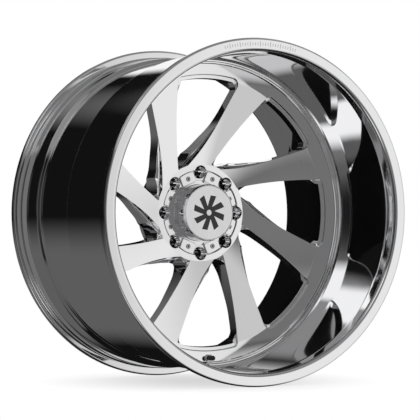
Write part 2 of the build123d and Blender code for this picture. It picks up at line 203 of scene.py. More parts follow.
def edge_wall(path, way, y0, y1, edge):
    """A wall from a flat face at y0 back to y1 along a path, its front edge a quarter round.

    way points out of the material along the path, edge is the rounding's radius."""
    a = np.linspace(0, math.pi / 2, 6)
    off = np.append(edge * (np.sin(a) - 1), 0.0)
    y = np.append(y0 + edge * (1 - np.cos(a)), y1)
    turn = np.append(a, math.pi / 2)
    q = path[:, None] + way[:, None] * off[None, :, None]
    p = np.stack([q[..., 0], np.broadcast_to(y, q.shape[:2]), q[..., 1]], -1)
    n = np.stack([way[:, None, 0] * np.sin(turn), np.broadcast_to(-np.cos(turn), q.shape[:2]),
                  way[:, None, 1] * np.sin(turn)], -1)
    return p, n


def evened(path, count):
    """The same path with count points evenly along it."""
    s = np.concatenate([[0], np.cumsum(np.linalg.norm(np.diff(path, axis=0), axis=1))])
    t = np.linspace(0, s[-1], count)
    return np.stack([np.interp(t, s, path[:, i]) for i in (0, 1)], -1)


def round_path(radius, angles, centre=(0.0, 0.0)):
    """Points on a circle at angles clockwise from the top."""
    return np.array(centre) + radius * np.stack([np.sin(angles), np.cos(angles)], -1)


def wheel_loop(sector):
    """A 45 degree path repeated round the wheel as one closed loop, its last point left out."""
    loops = []
    for k in range(WINDOWS):
        c, s = math.cos(k * STEP), math.sin(k * STEP)
        loops.append(sector[:-1] @ np.array([[c, -s], [s, c]]))
    return np.vstack(loops)


def plate(outer, inner, y_front, y_back, edge):
    """A flat plate between two closed clockwise loops of as many points, with rounded front edges.

    inner is None for a plate with no hole: its faces then run to the middle of the outer loop."""
    way = outward_of(outer)
    if inner is None:
        hole = np.repeat(outer.mean(0, keepdims=True), len(outer), axis=0)
        brink, sheets = hole, []
    else:
        hole_way = -outward_of(inner)
        brink = inner - hole_way * edge
        hole = inner
        sheets = [edge_wall(inner, hole_way, y_front, y_back, edge)]
    sheets += [edge_wall(outer, way, y_front, y_back, edge),
               flat(outer - way * edge, brink, y_front), flat(outer, hole, y_back, 1)]
    return [(np.concatenate([p, p[:1]]), np.concatenate([n, n[:1]])) for p, n in sheets]


# ---------------------------------------------------------------- finishes


class Finish:
    """A node material with a Principled shader, and short ways to add nodes to it."""

    def __init__(self, name, **sockets):
        """sockets are the shader's constants, with _ for a space in a socket's name."""
        self.material = bpy.data.materials.new(name)
        self.material.use_nodes = True
        self.nodes = self.material.node_tree.nodes
        self.links = self.material.node_tree.links
        self.shader = self.nodes["Principled BSDF"]
        for socket, value in sockets.items():
            self.shader.inputs[socket.replace("_", " ")].default_value = value
        self.place = self.nodes.new("ShaderNodeTexCoord").outputs["Object"]

    def node(self, kind, settings=(), **inputs):
        """A new node. An input given as i0, i1 ... goes by number, and a socket is linked, not set."""
        n = self.nodes.new(kind)
        for key, value in dict(settings).items():
            setattr(n, key, value)
        for key, value in inputs.items():
            socket = n.inputs[int(key[1:])] if key[1:].isdigit() else n.inputs[key.replace("_", " ")]
            if isinstance(value, bpy.types.NodeSocket):
                self.links.new(value, socket)
            else:
                socket.default_value = value
        return n

    def noise(self, scale, detail=2.0, stretch=(1, 1, 1), roughness=0.5):
        """Noise in the object's own space, finer along an axis whose stretch is larger."""
        moved = self.node("ShaderNodeMapping", Vector=self.place, Scale=stretch)
        return self.node("ShaderNodeTexNoise", Vector=moved.outputs[0], Scale=scale, Detail=detail,
                         Roughness=roughness).outputs["Fac"]

    def math(self, operation, a, b=0.0, c=0.0):
        """One arithmetic step on sockets or numbers."""
        return self.node("ShaderNodeMath", {"operation": operation}, i0=a, i1=b, i2=c).outputs[0]

    def ramp(self, value, low, high, to_low=0.0, to_high=1.0):
        """value carried straight from low..high to to_low..to_high, and held there outside."""
        return self.node("ShaderNodeMapRange", Value=value, From_Min=low, From_Max=high,
                         To_Min=to_low, To_Max=to_high).outputs[0]

    def bump(self, height, strength, distance, below=None):
        """A relief in the surface's shading, on top of another one given as below."""
        n = self.node("ShaderNodeBump", Height=height, Strength=strength, Distance=distance)
        if below is not None:
            self.links.new(below, n.inputs["Normal"])
        return n.outputs[0]

    def feed(self, socket, value):
        """Links value to one of the shader's sockets."""
        self.links.new(value, self.shader.inputs[socket])


def polished(name, colour=(0.93, 0.93, 0.94, 1), low=0.02, high=0.07, wave=0.02):
    """Buffed aluminium: a mirror with faint buffing haze, hairline scratches and a slow ripple."""
    f = Finish(name, Base_Color=colour, Metallic=1.0, Roughness=low)
    haze = f.noise(9, 4)
    hair = f.noise(60, 3, (1, 40, 1))
    mixed = f.math("MULTIPLY", haze, hair)
    f.feed("Roughness", f.ramp(mixed, 0.15, 0.4, low, high))
    ripple = f.bump(f.noise(14, 1), wave, 0.002)
    f.feed("Normal", f.bump(f.noise(420, 3), 0.012, 0.0002, ripple))
    return f.material


mirror_barrel = polished("polished barrel")
mirror_centre = polished("polished spokes")
mirror_hardware = polished("chrome hardware", (0.9, 0.9, 0.91, 1), 0.03, 0.08)


def plain(name, colour, metallic, roughness, grain=300, depth=0.05):
    """A finish with fine cast or moulded grain in its roughness and surface."""
    f = Finish(name, Base_Color=(*colour, 1), Metallic=metallic, Roughness=roughness)
    f.feed("Roughness", f.ramp(f.noise(grain / 4, 3), 0.3, 0.7, roughness * 0.8, min(1, roughness * 1.3)))
    f.feed("Normal", f.bump(f.noise(grain, 3), depth, 0.0003))
    return f.material


def brushed(name, colour, roughness, stretch, depth):
    """A satin finish with long fine lines: noise drawn out along one way of the object."""
    f = Finish(name, Base_Color=(*colour, 1), Metallic=1.0, Roughness=roughness)
    lines = f.noise(900, 2, stretch)
    f.feed("Roughness", f.ramp(f.math("ADD", lines, f.noise(25, 3)), 0.7, 1.3, roughness * 0.75,
                               roughness * 1.3))
    f.feed("Normal", f.bump(lines, depth, 0.0002))
    return f.material


finishes = {
    "polished_barrel": mirror_barrel,
    "polished_centre": mirror_centre,
    "brushed_weld": plain("brushed weld", (0.62, 0.62, 0.63), 1, 0.3),
    "chrome_hardware": mirror_hardware,
    "steel_screws": plain("steel screws", (0.45, 0.45, 0.46), 1, 0.22),
    "black_rubber": plain("black rubber", (0.02, 0.02, 0.02), 0, 0.7),
    "adhesive_film": plain("adhesive film", (0.7, 0.7, 0.68), 0, 0.5),
    "satin_plate": brushed("satin plate", (0.86, 0.86, 0.87), 0.2, (1, 1, 0.02), 0.1),
    "gloss_black": plain("gloss black", (0.012, 0.012, 0.012), 0, 0.12),
    "nickel_brass": plain("nickelled brass", (0.72, 0.7, 0.66), 1, 0.15),
    "bare_brass": plain("bare brass", (0.78, 0.6, 0.32), 1, 0.25),
    "core_gasket": plain("core gasket", (0.5, 0.08, 0.05), 0, 0.5),
    "spring_steel": plain("spring steel", (0.5, 0.5, 0.52), 1, 0.3),
    "black_plastic": plain("black plastic", (0.015, 0.015, 0.016), 0, 0.35),
}
slots = {part["node"]: part["material_slot"] for part in frame["record"]["subparts"]}
for node_name, node in frame["nodes"].items():
    node.data.materials.clear()
    node.data.materials.append(finishes[slots[node_name]])

# ---------------------------------------------------------------- rim barrel

HALF_WIDTH = 216.2
FLANGE_RADIUS = 350.1
FLANGE_INNER = 203.2
LIP_BORE = 320.3

barrel_corners = [
    # station, radius, corner rounding: lip, street flange, seats, well, rear flange, bore
    (-6, 310, 0),
    (-6, LIP_BORE, 0),
    (-190, LIP_BORE + 0.6, 60),
    (-HALF_WIDTH, 323.9, 8.7),
    (-HALF_WIDTH, FLANGE_RADIUS, 4.6),
    (-FLANGE_INNER, FLANGE_RADIUS, 3.5),
    (-FLANGE_INNER, 332.6, 3.5),
    (-181.2, 330.7, 3),
    (-178.2, 332.1, 3),
    (-175.2, 332.1, 3),
    (-171.2, 330.4, 4),
    (-151.2, 327.0, 20),
    (-2, 327.0, 5),
    (5, 318.0, 7),
    (127, 322.0, 8),
    (134, 329.7, 6),
    (169.2, 331.9, 3),
    (173.2, 333.2, 3),
    (176.2, 333.2, 3),
    (179.2, 331.3, 3),
    (FLANGE_INNER, 332.6, 3),
    (FLANGE_INNER, FLANGE_RADIUS, 4.5),
    (HALF_WIDTH, FLANGE_RADIUS, 4),
    (HALF_WIDTH, 328, 4),
    (210.2, 322, 4),
    (202.2, 320, 6),
    (137, 320, 2),
    (124, 313.5, 6),
    (40, 310, 20),
]
skin("barrel", [turned(rounded(barrel_corners, True), 480)], "wheel",
     mirror_barrel, ["rim_barrel"])

ring_corners = [
    (-5.0, 309.6, 0),
    (-7.4, 310.2, 0.5),
    (-9.0, 311.4, 0.5),
    (-9.6, 314.1, 0.6),
    (-11.8, 314.9, 0.6),
    (-12.4, 317.9, 0.6),
    (-15.0, 318.7, 0.7),
    (-16.0, LIP_BORE + 0.4, 0),
    (-5.0, LIP_BORE + 0.4, 0),
]
skin("dish_rings", [turned(rounded(ring_corners, True), 480)], "wheel",
     mirror_barrel, ["front_weld_bead"])

# ---------------------------------------------------------------- window outline

EDGE = 0.9                  # rounding of the spokes' front edges
WINDOW_TIP = (-51.5, 81.0)
WINDOW_LEFT = (-70.8, 279.7)
WINDOW_RIGHT = (79.0, 277.5)
FINE = 1500


def arc_through(a, b, c, count):
    """Points evenly along the circle through a, b and c, from a to c."""
    m = np.array([[b[0] - a[0], b[1] - a[1]], [c[0] - b[0], c[1] - b[1]]], float)
    rhs = [(b[0] ** 2 - a[0] ** 2 + b[1] ** 2 - a[1] ** 2) / 2,
           (c[0] ** 2 - b[0] ** 2 + c[1] ** 2 - b[1] ** 2) / 2]
    centre = np.linalg.solve(m, rhs)
    angles = np.unwrap([math.atan2(p[1] - centre[1], p[0] - centre[0]) for p in (a, b, c)])
    t = np.linspace(angles[0], angles[2], count)
    radius = math.dist(centre, a)
    return centre + radius * np.stack([np.cos(t), np.sin(t)], -1)


def cubic_through(knots, count):
    """The cubic polynomial through four points, spaced in its parameter by their distances."""
    k = np.array(knots, float)
    t = np.concatenate([[0], np.cumsum(np.linalg.norm(np.diff(k, axis=0), axis=1))])
    s = np.linspace(0, t[-1], count)
    return np.stack([np.polyval(np.polyfit(t, k[:, i], 3), s) for i in (0, 1)], -1)


def inward(path):
    """Unit vectors to the right of a path's direction."""
    d = unit(np.gradient(path, axis=0, edge_order=2))
    return np.stack([d[:, 1], -d[:, 0]], -1)


def along(path, s):
    """Points of a path at given fractional indices."""
    i = np.arange(len(path))
    return np.stack([np.interp(s, i, path[:, 0]), np.interp(s, i, path[:, 1])], -1)


def filleted(a, b, radius, count=90):
    """Two paths that meet, trimmed, and the arc of that radius between them, on their right."""
    sa, sb = np.arange(len(a)) * 1.0, np.arange(len(b)) * 1.0
    for _ in range(3):
        pa, pb = along(a, sa), along(b, sb)
        oa, ob = (pa + radius * along(inward(a), sa)), (pb + radius * along(inward(b), sb))
        gap = np.linalg.norm(oa[:, None] - ob[None], axis=-1)
        i, j = np.unravel_index(gap.argmin(), gap.shape)
        wide_a, wide_b = (sa[1] - sa[0]) * 3, (sb[1] - sb[0]) * 3
        best_a, best_b, centre = sa[i], sb[j], (oa[i] + ob[j]) / 2
        sa = np.linspace(max(best_a - wide_a, 0), min(best_a + wide_a, len(a) - 1), 300)
        sb = np.linspace(max(best_b - wide_b, 0), min(best_b + wide_b, len(b) - 1), 300)
    start, end = along(a, [best_a])[0] - centre, along(b, [best_b])[0] - centre
    w = np.unwrap([math.atan2(start[1], start[0]), math.atan2(end[1], end[0])])
    t = np.linspace(w[0], w[1], count)
    arc = centre + radius * np.stack([np.cos(t), np.sin(t)], -1)
    return a[: int(best_a)], arc, b[int(best_b) + 2:]


left = arc_through(WINDOW_TIP, (-66.5, 175), WINDOW_LEFT, FINE)
outer = arc_through(WINDOW_LEFT, (0, 288.5), WINDOW_RIGHT, FINE)
right = cubic_through([WINDOW_RIGHT, (36.8, 196), (3.5, 140), WINDOW_TIP], FINE)
left, left_corner, outer = filleted(left, outer, 10.5)
outer, right_corner, right = filleted(outer, right, 14.0)
right, tip_corner, left = filleted(right, left, 7.0)
outline = np.vstack([left, left_corner, outer, right_corner, right, tip_corner])
outline = np.vstack([outline, outline[:1]])
outline_length = np.concatenate([[0], np.cumsum(np.linalg.norm(np.diff(outline, axis=0), axis=1))])
even = np.linspace(0, outline_length[-1], 6001)[:-1]
outline = np.stack([np.interp(even, outline_length, outline[:, i]) for i in (0, 1)], -1)
wrapped = np.vstack([outline[-1:], outline, outline[:1]])
edge_in = inward(wrapped)[1:-1]
front_edge = outline - EDGE * edge_in            # where the flat face ends and the rounding starts
front_radius = np.linalg.norm(front_edge, axis=1)
tip_at = front_radius.argmin()
front_edge, edge_in, front_radius = (np.roll(a, -tip_at, axis=0)
                                     for a in (front_edge, edge_in, front_radius))
TIP_RADIUS, TOP_RADIUS = front_radius.min(), 288.5 + EDGE
top_first = np.argmax(front_radius > TOP_RADIUS - 0.004)
top_last = len(front_radius) - 1 - np.argmax(front_radius[::-1] > TOP_RADIUS - 0.004)

# ---------------------------------------------------------------- spoke disc

FACE_CREASE = (-3.3, 280.0)
CENTRE_RADIUS = 310.0
INNER_RADIUS = 100.0
face_profile = rounded([(29.17, INNER_RADIUS, 0), (FACE_CREASE[0], FACE_CREASE[1], 55),
                        (-5.5, CENTRE_RADIUS, 0)], turn=0.6)
back_profile = rounded([(88, INNER_RADIUS, 0), (88, 112, 6), (64, 140, 60), (36, 215, 150),
                        (20, 294, 30), (20, CENTRE_RADIUS, 0)], turn=2)


def dished(profile, radius):
    """Station and normal (along, out) of a turned surface at given radii."""
    points, normals = profile
    order = np.argsort(points[:, 1])
    r = points[order, 1]
    return (np.interp(radius, r, points[order, 0]),
            unit(np.stack([np.interp(radius, r, normals[order, i]) for i in (0, 1)], -1)))


def on_dish(profile, radius, angle):
    """Points and normals of a turned surface at radii and angles of one shape."""
    y, n = dished(profile, radius)
    p = np.stack([radius * np.sin(angle), y, radius * np.cos(angle)], -1)
    return p, np.stack([n[..., 1] * np.sin(angle), n[..., 0], n[..., 1] * np.cos(angle)], -1)


ROWS, ACROSS, TOP_STEPS = 78, 22, 34
row_radius = TIP_RADIUS + (TOP_RADIUS - TIP_RADIUS) * (1 - np.cos(np.linspace(0, np.pi, ROWS))) / 2
crease_rows = FACE_CREASE[1] + np.array([-2.9, -1.9, -0.9, 0, 0.9, 1.9, 2.9])
row_radius = row_radius[np.abs(row_radius[:, None] - crease_rows).min(1) > 0.4]
row_radius = np.sort(np.concatenate([row_radius, crease_rows]))
row_radius[0], row_radius[-1] = TIP_RADIUS, TOP_RADIUS
half_turns = len(front_edge)
left_index = np.interp(row_radius, front_radius[: top_first + 1], np.arange(top_first + 1))
right_index = np.interp(-row_radius, -np.append(front_radius[top_last:], TIP_RADIUS),
                        np.arange(top_last, half_turns + 1))
top_index = np.linspace(left_index[-1], right_index[-1], TOP_STEPS + 1)
loop_index = np.concatenate([left_index, top_index[1:-1], right_index[::-1]])
front_edge, edge_in, front_radius = (np.concatenate([a, a[:1]])
                                     for a in (front_edge, edge_in, front_radius))
loop_edge, loop_in = along(front_edge, loop_index), unit(along(edge_in, loop_index))
loop_radius = np.concatenate([row_radius, np.full(TOP_STEPS - 1, TOP_RADIUS), row_radius[::-1]])
loop_edge = unit(loop_edge) * loop_radius[:, None]
row_count, loop_count = len(row_radius), len(loop_edge)
on_left = np.arange(loop_count) < row_count
on_right = np.arange(loop_count) >= loop_count - row_count


def section(loop_edge, loop_in):
    """The window's edge profile at each point of its outline, as (inward, back) pairs.

    It starts on the face with a small rounding, falls into a scoop near the tip and along the
    lower right flank or steps down to a ledge along the outer edge, and then goes straight back
    to the rear surface, where it is rounded again. Every corner is a parabola between points one
    tangent length either side of it."""
    r = loop_radius
    scoop = np.where(on_right, 1 - smooth(118, 196, r), 1 - smooth(TIP_RADIUS + 2, TIP_RADIUS + 26, r))
    ledge = np.where(on_left, smooth(258, 279, r), np.where(on_right, smooth(262, 284, r), 1))
    tip_pull = np.where(on_right, 1 - smooth(TIP_RADIUS + 10, TIP_RADIUS + 70, r),
                        1 - smooth(TIP_RADIUS + 10, TIP_RADIUS + 50, r))
    gather = loop_edge[0] + 46 * unit(np.array([0.32, 0.95]))
    aim = unit(loop_in * (1 - tip_pull)[:, None] + unit(gather - loop_edge) * tip_pull[:, None])
    flat = np.zeros(loop_count)
    corners = [
        (flat, flat, 0),
        (flat + EDGE, flat, EDGE),
        (EDGE + 0.1 + 5.0 * scoop + 0.8 * ledge, 0.4 + 7.5 * scoop + 4.6 * ledge, 0.9 + 3 * scoop),
        (EDGE + 0.2 + 11.5 * scoop + 8.2 * ledge, 0.8 + 10.0 * scoop + 5.0 * ledge, 0.7),
    ]
    y_edge = dished(face_profile, r)[0]
    wall = corners[3][0] + 0.8
    rear = loop_edge + aim * wall[:, None]
    rear_y = dished(back_profile, np.linalg.norm(rear, axis=1))[0]
    last = loop_edge + aim * (wall - 2.4)[:, None]
    last_y = dished(back_profile, np.linalg.norm(last, axis=1))[0]
    corners += [(wall, rear_y - y_edge, 1.9), (wall - 2.4, last_y - y_edge, 0)]
    path = np.array([[a, h] for a, h, _ in corners]).transpose(2, 0, 1)
    runs = np.linalg.norm(np.diff(path, axis=1), axis=2)
    steps = np.diff(path, axis=1) / np.maximum(runs, 1e-9)[..., None]
    columns = [path[:, 0]]
    for k, count in zip((1, 2, 3, 4), (6, 6, 6, 6)):
        reach = np.minimum(corners[k][2], 0.46 * np.minimum(runs[:, k - 1], runs[:, k]))[:, None]
        a, c, b = path[:, k] - steps[:, k - 1] * reach, path[:, k], path[:, k] + steps[:, k] * reach
        columns += [(1 - t) ** 2 * a + 2 * t * (1 - t) * c + t * t * b
                    for t in np.linspace(0, 1, count)]
    columns.append(path[:, 5])
    path = np.stack(columns, 1)
    flat_place = loop_edge[:, None] + aim[:, None] * path[..., :1]
    return np.stack([flat_place[..., 0], y_edge[:, None] + path[..., 1], flat_place[..., 1]], -1)


strip = section(loop_edge, loop_in)
strip_normal = sheet_normals(strip)
loop_angle = np.arctan2(loop_edge[:, 0], loop_edge[:, 1])
strip_normal[:, 0] = on_dish(face_profile, loop_radius, loop_angle)[1]
rear_edge = strip[:, -1]
rear_radius = np.hypot(rear_edge[:, 0], rear_edge[:, 2])
rear_angle = np.arctan2(rear_edge[:, 0], rear_edge[:, 2])
strip_normal[:, -1] = on_dish(back_profile, rear_radius, rear_angle)[1]
left_rows, right_rows = slice(0, row_count), slice(loop_count - row_count, loop_count)
across = np.linspace(0, 1, ACROSS + 1)


def spanned(profile, radius, angle):
    """The surface of one spoke, between one window's right flank and the next one's left flank."""
    r0, r1 = radius[right_rows][::-1, None], radius[left_rows][:, None]
    a0, a1 = angle[right_rows][::-1, None], angle[left_rows][:, None] + STEP
    return on_dish(profile, r0 + (r1 - r0) * across, a0 + (a1 - a0) * across)


def ring(profile, radius, angle, goal, powers):
    """The surface between the spokes' ends and a circle: radius moves from its border to goal."""
    share = np.array(powers)[None, :]
    r = radius[:, None] + (goal - radius[:, None]) * share
    return on_dish(profile, r, angle[:, None] + 0 * share)


def round_wheel(sheets):
    """The sheets of one window repeated at every window."""
    out = []
    for k in range(WINDOWS):
        c, s = math.cos(k * STEP), math.sin(k * STEP)
        spin = np.array([[c, 0, -s], [0, 1, 0], [s, 0, c]])
        out += [(p @ spin, n @ spin) for p, n in sheets]
    return out


cell = [(strip, strip_normal)]
for profile, radius, angle, outs, ins in (
    (face_profile, loop_radius, loop_angle, [0, 0.1, 0.3, 0.5, 0.75, 1], [0, 0.2, 0.5, 1]),
    (back_profile, rear_radius, rear_angle, [0, 0.2, 0.4, 0.6, 0.8, 1], [0, 0.2, 0.5, 1]),
):
    spoke = spanned(profile, radius, angle)
    cell.append(spoke)
    top = slice(row_count - 1, loop_count - row_count + 1)
    cell.append(ring(profile, radius[top], angle[top], CENTRE_RADIUS, outs))
    for row, goal, shares in ((-1, CENTRE_RADIUS, outs), (0, INNER_RADIUS, ins)):
        p = spoke[0][row]
        r, a = np.hypot(p[:, 0], p[:, 2]), np.unwrap(np.arctan2(p[:, 0], p[:, 2]))
        cell.append(ring(profile, r, a, goal, shares))
for front, back in ((cell[2], cell[6]), (cell[3], cell[7]), (cell[4], cell[8])):
    edge = np.stack([front[0][:, -1], back[0][:, -1]], 1)
    way = unit(edge * [1, 0, 1])
    cell.append((edge, way))
skin("spoke_centre", round_wheel(cell), "wheel", mirror_centre, ["wheel_centre"])

# ---------------------------------------------------------------- hub

HUB_FACE, POCKET_FLOOR, MOUNT_FACE = 28.9, 40.6, 101.0
POCKET_RADIUS, HUB_OUTER = 89.3, 103.0
LUG_CIRCLE, SOCKET_RADIUS, STUD_RADIUS = 85.3, 13.3, 8.0
CONE_TOP, CONE_FOOT = 79.8, 89.0
BORE_RADIUS, BORE_CHAMFER_RADIUS = 62.5, 65.5
PAD_RADIUS, PAD_SIDE_RADIUS, PAD_SIDE_Y, HUB_FLARE_Y = 110, 112, 86, 60
POCKET_EDGE = 1.1


def bitten(radius, bite, side):
    """An eighth of a circle, bitten by the lug's circle: the bite's outer side is 1, inner is -1."""
    meet = math.acos((radius ** 2 - LUG_CIRCLE ** 2 - bite ** 2) / (2 * LUG_CIRCLE * bite))
    meet_angle = math.atan2(bite * math.sin(meet), LUG_CIRCLE + bite * math.cos(meet))
    b = np.linspace(-meet, meet if side > 0 else meet - 2 * math.pi, 27)
    return np.vstack([round_path(radius, np.linspace(-STEP / 2, -meet_angle, 6)[:-1]),
                      round_path(bite, b, (0, LUG_CIRCLE)),
                      round_path(radius, np.linspace(meet_angle, STEP / 2, 6)[1:])]), b


def halved(hole, side):
    """A path across an eighth of the hub at the lug circle, round one side of the stud hole."""
    b = bitten(POCKET_RADIUS, SOCKET_RADIUS, side)[1]
    half = round_path(hole, b, (0, LUG_CIRCLE))
    edges = round_path(LUG_CIRCLE, np.array([-STEP / 2, STEP / 2]))
    t = np.linspace(0, 1, 6)[:, None]
    return np.vstack([(edges[0] * (1 - t) + half[0] * t)[:-1], half,
                      (half[-1] * (1 - t) + edges[1] * t)[1:]])


pocket, scallop_turn = bitten(POCKET_RADIUS, SOCKET_RADIUS, 1)
floor_edge, socket_turn = bitten(POCKET_RADIUS, SOCKET_RADIUS, -1)
sector = np.linspace(-STEP / 2, STEP / 2, len(pocket))
pocket_way = -unit(pocket)
pocket_way[5:-5] = -round_path(1, scallop_turn)
cell = [
    flat(round_path(HUB_OUTER, sector), pocket - pocket_way * POCKET_EDGE, HUB_FACE),
    edge_wall(pocket, pocket_way, HUB_FACE, POCKET_FLOOR, POCKET_EDGE),
    flat(floor_edge, round_path(BORE_RADIUS, sector), POCKET_FLOOR),
    flat(halved(STUD_RADIUS, 1), round_path(PAD_RADIUS, sector), MOUNT_FACE, 1),
    flat(halved(STUD_RADIUS, -1), round_path(BORE_CHAMFER_RADIUS, sector), MOUNT_FACE, 1),
    carried(rounded([(POCKET_FLOOR, BORE_RADIUS, 0), (MOUNT_FACE - 3, BORE_RADIUS, 0),
                     (MOUNT_FACE, BORE_CHAMFER_RADIUS, 0)]), sector),
    carried(rounded([(MOUNT_FACE, PAD_RADIUS, 0), (MOUNT_FACE - 2, PAD_SIDE_RADIUS, 0),
                     (PAD_SIDE_Y, PAD_SIDE_RADIUS, 0), (HUB_FLARE_Y, HUB_OUTER, 0),
                     (HUB_FACE, HUB_OUTER, 0)]), sector),
]
socket_shape = rounded([(POCKET_FLOOR, SOCKET_RADIUS, 0), (CONE_TOP, SOCKET_RADIUS, 0),
                        (CONE_FOOT, STUD_RADIUS, 0), (MOUNT_FACE, STUD_RADIUS, 0)])
for turns in (scallop_turn, socket_turn):
    p, n = carried(socket_shape, turns)
    cell.append((p + np.array([0, 0, LUG_CIRCLE]), n))
skin("hub", round_wheel(cell), "wheel", mirror_centre, ["wheel_centre"])

# ---------------------------------------------------------------- cap and its clamp ring

RING_BASE, RING_PAD, SCREW_CIRCLE = 34.6, 30.6, 76.0
RING_OUTER, RING_BITE, RING_INNER, NOTCH_HALF, NOTCH_TOP, RING_POINTS = 88.5, 14.0, 63.4, 10.5, 67.5, 61
ring_outer = evened(bitten(RING_OUTER, RING_BITE, -1)[0], RING_POINTS)
notch = np.array([[-NOTCH_HALF, 62.5], [-NOTCH_HALF, 66.9], [-9.9, NOTCH_TOP],
                  [9.9, NOTCH_TOP], [NOTCH_HALF, 66.9], [NOTCH_HALF, 62.5]])
notch_angle = math.asin(NOTCH_HALF / RING_INNER)
ring_inner = evened(np.vstack([
    round_path(RING_INNER, np.linspace(-STEP / 2, -notch_angle, 9)[:-1]), notch,
    round_path(RING_INNER, np.linspace(notch_angle, STEP / 2, 9)[1:])]), RING_POINTS)
ring_sheets = plate(wheel_loop(ring_outer), wheel_loop(ring_inner), RING_BASE, POCKET_FLOOR, 0.7)
pad = np.array([[-17, 65.2], [-17, 86.0], [-8.5, 87.7], [0, 88.2], [8.5, 87.7], [17, 86.0], [17, 65.2],
                [0, 64.4], [-17, 65.2]], float)
pad = rounded([(*q, 2.2) for q in pad[:-1]], True, 20)[0]
pad = np.vstack([pad, pad[:1]])
pad_loop = evened(pad, 65)[:-1]
pad_start = np.arctan2(pad_loop[0, 0], pad_loop[0, 1] - SCREW_CIRCLE)
bore_loop = round_path(4.7, pad_start + np.linspace(0, 2 * math.pi, 65)[:-1], (0, SCREW_CIRCLE))
half_turn = np.array([[math.cos(STEP / 2), 0, -math.sin(STEP / 2)], [0, 1, 0],
                      [math.sin(STEP / 2), 0, math.cos(STEP / 2)]])


def between_lugs(sheets):
    """Sheets made at the top of the wheel, turned half a step and repeated eight times."""
    return round_wheel([(p @ half_turn, n @ half_turn) for p, n in sheets])


ring_sheets += between_lugs(plate(pad_loop, bore_loop, RING_PAD, 36.0, 0.8))
skin("cap_clamp_ring", ring_sheets, "wheel", mirror_hardware, ["cap_retaining_ring"])

SCREW_TOP, SOCKET_FLOOR, SCREW_BASE, HEAD_RADIUS = 31.0, 33.6, 36.0, 4.3
hexagon = round_path(2.3, np.linspace(0, 2 * math.pi, 7))
hexagon = evened(hexagon, 49)[:-1]
head_loop = round_path(HEAD_RADIUS, np.linspace(0, 2 * math.pi, 49)[:-1])
socket_wall, _, head_face, _ = plate(head_loop, hexagon, SCREW_TOP, SOCKET_FLOOR, 0.5)
head_wall, _, head_back = plate(head_loop, None, SCREW_TOP, SCREW_BASE, 0.5)
hexagon_round = np.vstack([hexagon, hexagon[:1]])
screw = [socket_wall, head_face, head_wall, head_back, flat(hexagon_round, hexagon_round * 0, SOCKET_FLOOR)]
skin("clamp_screws", between_lugs([(p + np.array([0, 0, SCREW_CIRCLE]), n) for p, n in screw]), "wheel",
     finishes["steel_screws"], ["cap_screws"])

CAP_RADIUS, CAP_FRONT = 59.2, -7.2
cap_shape = [
    (40.6, 56, 0), (40.6, 70, 0), (37.6, 70, 0.6), (37.6, CAP_RADIUS, 1.0),
    (-0.6, CAP_RADIUS, 0.15), (-0.9, CAP_RADIUS - 0.35, 0.15), (-1.3, CAP_RADIUS - 0.35, 0.15),
    (-1.6, CAP_RADIUS, 0.15), (-3.6, CAP_RADIUS, 0.7), (CAP_FRONT, 57.0, 0.4), (CAP_FRONT, 56.2, 0.25),
    (-5.2, 56.0, 0), (-5.2, 0, 0), (-2.0, 0, 0), (-2.0, 56, 0),
]
skin("cap_cup", [turned(rounded(cap_shape, True), 240)], "wheel", mirror_hardware,
     ["cap_body"])
plate_shape = [(-5.0, 0, 0), (-5.0, 55.9, 0), (-6.4, 55.9, 0.2), (-6.8, 55.4, 0.2), (-6.8, 0, 0)]
skin("cap_badge_plate", [turned(rounded(plate_shape, True), 240)], "wheel",
     finishes["satin_plate"], ["cap_face_plate"])

# ---------------------------------------------------------------- flange marks and valve

MARK_RADIUS, MARK_REACH, MARK_COUNT = 337.2, 14.0, 29
LONG_MARK, SHORT_MARK, MARK_WIDTH, MARK_RISE = 9.6, 5.6, 1.5, 0.4


def lens(angle, length):
    """A low rounded bar on the street flange, long the radial way, meeting the face along its edge.

    With u and v running -1 to 1 along and across, it stands rise * (1 - u^8)(1 - v^4) off the face,
    and a mirrored sheet inside the metal closes it."""
    u, v = np.meshgrid(np.linspace(-1, 1, 17), np.linspace(-1, 1, 9), indexing="ij")
    swell = MARK_RISE * (1 - u ** 8) * (1 - v ** 4)
    r = MARK_RADIUS + u * length / 2
    a = angle + v * MARK_WIDTH / 2 / MARK_RADIUS
    return [(p, sheet_normals(p)) for p in
            (np.stack([r * np.sin(a), -HALF_WIDTH + side * swell, r * np.cos(a)], -1) for side in (-1, 1))]


marks = []
for i, angle in enumerate(np.radians(np.linspace(-MARK_REACH, MARK_REACH, MARK_COUNT))):
    marks += lens(angle, LONG_MARK if i % 4 == 2 else SHORT_MARK)
skin("flange_marks", marks, "wheel", mirror_barrel)

VALVE_DROP, STEM_RADIUS = 302.0, 4.0
GRIP_MOUTH, GRIP_TOP, GRIP_RADIUS, FLUTES, FLUTE_DEPTH = -9.6, -24.8, 5.2, 20, 0.45
turns = np.linspace(0, 2 * math.pi, 361)
shape, way = rounded([(-23.5, 0, 0), (-23.5, STEM_RADIUS, 0), (GRIP_MOUTH, STEM_RADIUS, 0.2),
                      (GRIP_MOUTH, GRIP_RADIUS, 0.25), (-11.6, GRIP_RADIUS, 0), (-13.0, GRIP_RADIUS, 0),
                      (-22.6, GRIP_RADIUS, 0), (-24.0, GRIP_RADIUS, 0.3), (GRIP_TOP, 4.4, 0.3),
                      (GRIP_TOP, 0, 0)])
grip, _ = carried((shape, way), turns)
fluted = smooth(GRIP_RADIUS - 0.4, GRIP_RADIUS, shape[:, 1]) * smooth(-12.0, -13.0, shape[:, 0])
cut = FLUTE_DEPTH * fluted[None, :] * np.maximum(0, np.cos(FLUTES * turns))[:, None] ** 1.5
grip = grip - cut[..., None] * np.stack([np.sin(turns), 0 * turns, np.cos(turns)], -1)[:, None]
grip = grip - np.array([0, 0, VALVE_DROP])
